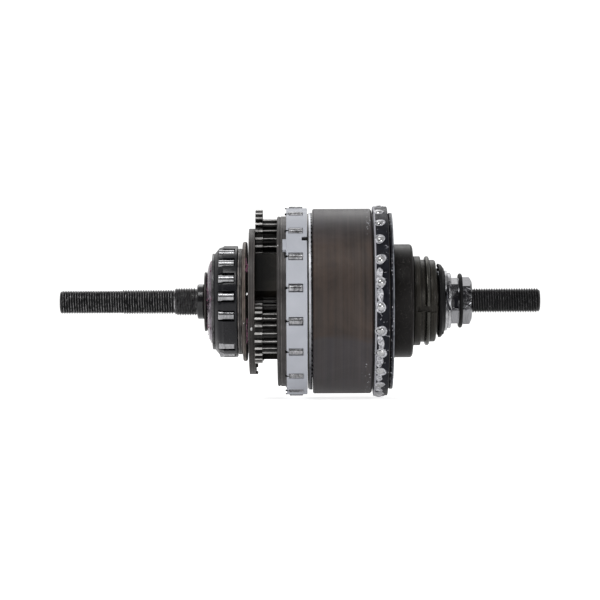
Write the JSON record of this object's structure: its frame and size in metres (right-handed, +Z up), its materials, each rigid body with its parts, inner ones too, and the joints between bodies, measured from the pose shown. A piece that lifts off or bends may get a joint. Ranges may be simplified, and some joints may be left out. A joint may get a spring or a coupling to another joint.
{
  "type": "bicycle hub gear",
  "caption": "Works of a planetary bicycle hub gear: threaded axle, stepped planets in a carrier, ring gears, two roller clutches, ball race and sprocket driver.",
  "frame": {"origin": "middle of the axle's length, on its axis", "axes": "+Y along the axle towards the non-drive side, +Z up, +X towards the front of the bicycle; forward pedalling turns the driver in the positive sense about +Y"},
  "size_m": [0.075, 0.187, 0.0749],
  "materials": {
    "black_oxide": "black oxide on threaded and turned steel",
    "drum_steel": "brown-black oxide, scuffed",
    "oily_steel": "dark turned steel with an oil film",
    "gear_steel": "hobbed and hardened gear steel, oiled",
    "bright_steel": "polished rollers and balls",
    "zinc_plate": "bright zinc plated steel",
    "dome_steel": "satin pressed steel with grease",
    "grey_nylon": "light blue-grey moulded nylon",
    "black_nylon": "black moulded nylon",
    "black_rubber": "black rubber",
    "spring_steel": "blued spring steel"
  },
  "bodies": {
    "axle_assembly": {"axle": "black_oxide", "sun_pawls": "gear_steel", "left_lock_collar": "black_oxide", "left_tab_washer": "zinc_plate", "right_cone": "gear_steel", "right_lock_sleeve": "zinc_plate", "sleeve_o_ring": "black_rubber", "right_lock_nut": "zinc_plate", "actuator_return_spring": "spring_steel", "sun_gear_1": "gear_steel", "sun_gear_3": "gear_steel"},
    "planet_carrier": {"planet_carrier": "oily_steel", "carrier_left_plate": "oily_steel", "planet_pins": "gear_steel", "planet_pin_clips": "spring_steel", "carrier_end_cap": "dome_steel", "left_clutch_cam": "gear_steel", "left_retaining_ring": "black_oxide", "left_thrust_ring": "oily_steel", "left_friction_disc": "oily_steel"},
    "left_clutch": {"left_roller_cage": "black_nylon", "left_clutch_rollers": "bright_steel"},
    "free_sun": {"sun_gear_2": "gear_steel"},
    "output_ring": {"output_ring_gear": "oily_steel", "large_cage_spring": "spring_steel", "serrated_thrust_ring": "gear_steel"},
    "large_clutch": {"large_roller_cage": "grey_nylon", "large_clutch_rollers": "bright_steel"},
    "driver": {"driver_body": "black_oxide", "input_drum": "drum_steel", "input_end_race": "oily_steel", "dust_disc": "black_oxide", "sprocket_snap_ring": "spring_steel", "driver_seal": "black_rubber"},
    "large_ball_row": {"right_ball_retainer": "black_oxide", "right_bearing_balls": "bright_steel"},
    "driver_ball_row": {"driver_ball_retainer": "black_oxide", "driver_balls": "bright_steel"},
    "shift_parts": {"shift_actuator": "zinc_plate", "shift_cam_sleeve": "gear_steel"},
    "left_planet_1": {"left_planet_1": "gear_steel"},
    "right_planet_1": {"right_planet_1": "gear_steel"},
    "left_planet_2": {"left_planet_2": "gear_steel"},
    "right_planet_2": {"right_planet_2": "gear_steel"},
    "left_planet_3": {"left_planet_3": "gear_steel"},
    "right_planet_3": {"right_planet_3": "gear_steel"}
  },
  "joints": [
    {"name": "driver_spin", "type": "hinge", "parent": "axle_assembly", "child": "driver", "pos_m": [0, 0, 0], "axis": [0, 1, 0], "continuous": true},
    {"name": "carrier_spin", "type": "hinge", "parent": "axle_assembly", "child": "planet_carrier", "pos_m": [0, 0, 0], "axis": [0, 1, 0], "continuous": true},
    {"name": "output_ring_spin", "type": "hinge", "parent": "axle_assembly", "child": "output_ring", "pos_m": [0, 0, 0], "axis": [0, 1, 0], "continuous": true},
    {"name": "sun_gear_2_spin", "type": "hinge", "parent": "axle_assembly", "child": "free_sun", "pos_m": [0, 0, 0], "axis": [0, 1, 0], "continuous": true},
    {"name": "large_ball_row_spin", "type": "hinge", "parent": "axle_assembly", "child": "large_ball_row", "pos_m": [0, 0, 0], "axis": [0, 1, 0], "continuous": true},
    {"name": "driver_ball_row_spin", "type": "hinge", "parent": "axle_assembly", "child": "driver_ball_row", "pos_m": [0, 0, 0], "axis": [0, 1, 0], "continuous": true},
    {"name": "left_planet_1_spin", "type": "hinge", "parent": "planet_carrier", "child": "left_planet_1", "pos_m": [0, 0, 0.0243], "axis": [0, 1, 0], "continuous": true},
    {"name": "right_planet_1_spin", "type": "hinge", "parent": "planet_carrier", "child": "right_planet_1", "pos_m": [0, 0, 0.0243], "axis": [0, 1, 0], "continuous": true},
    {"name": "left_planet_2_spin", "type": "hinge", "parent": "planet_carrier", "child": "left_planet_2", "pos_m": [-0.02104, 0, -0.01215], "axis": [0, 1, 0], "continuous": true},
    {"name": "right_planet_2_spin", "type": "hinge", "parent": "planet_carrier", "child": "right_planet_2", "pos_m": [-0.02104, 0, -0.01215], "axis": [0, 1, 0], "continuous": true},
    {"name": "left_planet_3_spin", "type": "hinge", "parent": "planet_carrier", "child": "left_planet_3", "pos_m": [0.02104, 0, -0.01215], "axis": [0, 1, 0], "continuous": true},
    {"name": "right_planet_3_spin", "type": "hinge", "parent": "planet_carrier", "child": "right_planet_3", "pos_m": [0.02104, 0, -0.01215], "axis": [0, 1, 0], "continuous": true},
    {"name": "left_clutch_play", "type": "hinge", "parent": "planet_carrier", "child": "left_clutch", "pos_m": [0, 0, 0], "axis": [0, 1, 0], "range_deg": [-5, 5]},
    {"name": "large_clutch_play", "type": "hinge", "parent": "output_ring", "child": "large_clutch", "pos_m": [0, 0, 0], "axis": [0, 1, 0], "range_deg": [-4, 4]},
    {"name": "shift_turn", "type": "hinge", "parent": "axle_assembly", "child": "shift_parts", "pos_m": [0, 0, 0], "axis": [0, 1, 0], "range_deg": [0, 60], "stiffness_Nm_per_rad": 0.02, "springref_deg": -20.05}
  ],
  "couplings": [
    {"joint": "carrier_spin", "follows": "driver_spin", "ratio": 0.66667},
    {"joint": "output_ring_spin", "follows": "driver_spin", "ratio": 0.84783},
    {"joint": "sun_gear_2_spin", "follows": "driver_spin", "ratio": 0.34615},
    {"joint": "large_ball_row_spin", "follows": "driver_spin", "ratio": 0.92},
    {"joint": "driver_ball_row_spin", "follows": "driver_spin", "ratio": 0.61},
    {"joint": "left_planet_1_spin", "follows": "driver_spin", "ratio": 0.83333},
    {"joint": "right_planet_1_spin", "follows": "driver_spin", "ratio": 1.3333},
    {"joint": "left_planet_2_spin", "follows": "driver_spin", "ratio": 0.83333},
    {"joint": "right_planet_2_spin", "follows": "driver_spin", "ratio": 1.3333},
    {"joint": "left_planet_3_spin", "follows": "driver_spin", "ratio": 0.83333},
    {"joint": "right_planet_3_spin", "follows": "driver_spin", "ratio": 1.3333}
  ]
}
